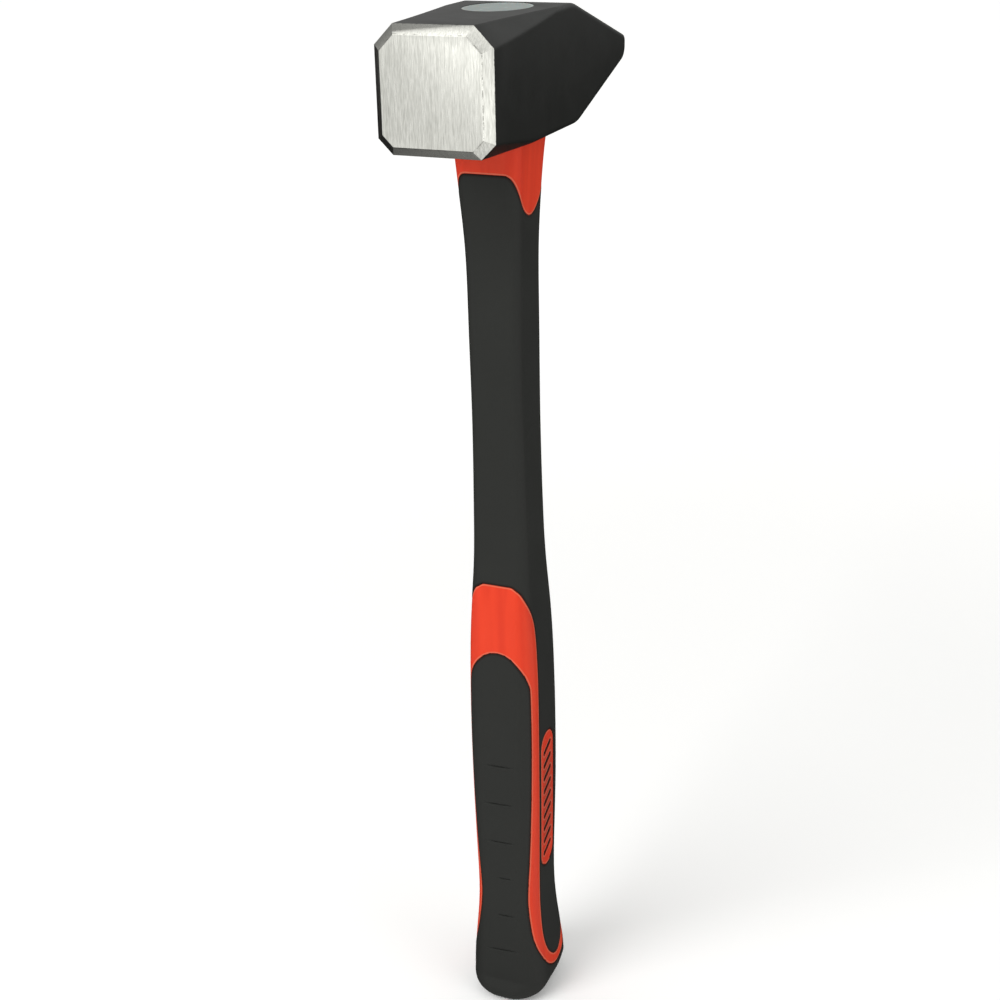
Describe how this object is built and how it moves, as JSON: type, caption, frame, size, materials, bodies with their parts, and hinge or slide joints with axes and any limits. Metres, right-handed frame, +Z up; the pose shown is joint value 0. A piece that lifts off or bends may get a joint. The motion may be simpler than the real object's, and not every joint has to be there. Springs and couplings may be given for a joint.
{
  "type": "sledgehammer",
  "caption": "Cross-pein sledgehammer: square black head with a bare bevelled face, bonded to a fibreglass handle with a two-tone soft grip.",
  "frame": {"origin": "where the axis of the head's eye meets the small flat at the butt's end", "axes": "+Z up the handle to the head, -Y the way the striking face points, +Y the way the pein points, X across the head"},
  "size_m": [0.06, 0.1865, 0.585],
  "materials": {
    "head_paint": "satin black paint on forged steel; the striking face and its bevel are bare ground steel",
    "fibreglass": "pultruded glass fibre and resin, straw coloured",
    "epoxy": "cast epoxy, grey blue, satin",
    "dam_rubber": "soft rubber",
    "orange_plastic": "hard moulded plastic, orange red, satin",
    "black_rubber": "soft moulded elastomer, charcoal black, fine matt grain"
  },
  "bodies": {
    "root": {"hammer_head": "head_paint", "fibreglass_core": "fibreglass", "eye_resin": "epoxy", "resin_dam": "dam_rubber", "handle_jacket": "orange_plastic", "shaft_sleeve": "black_rubber", "grip_sleeve": "black_rubber", "badge_inlays": "black_rubber"}
  },
  "joints": []
}
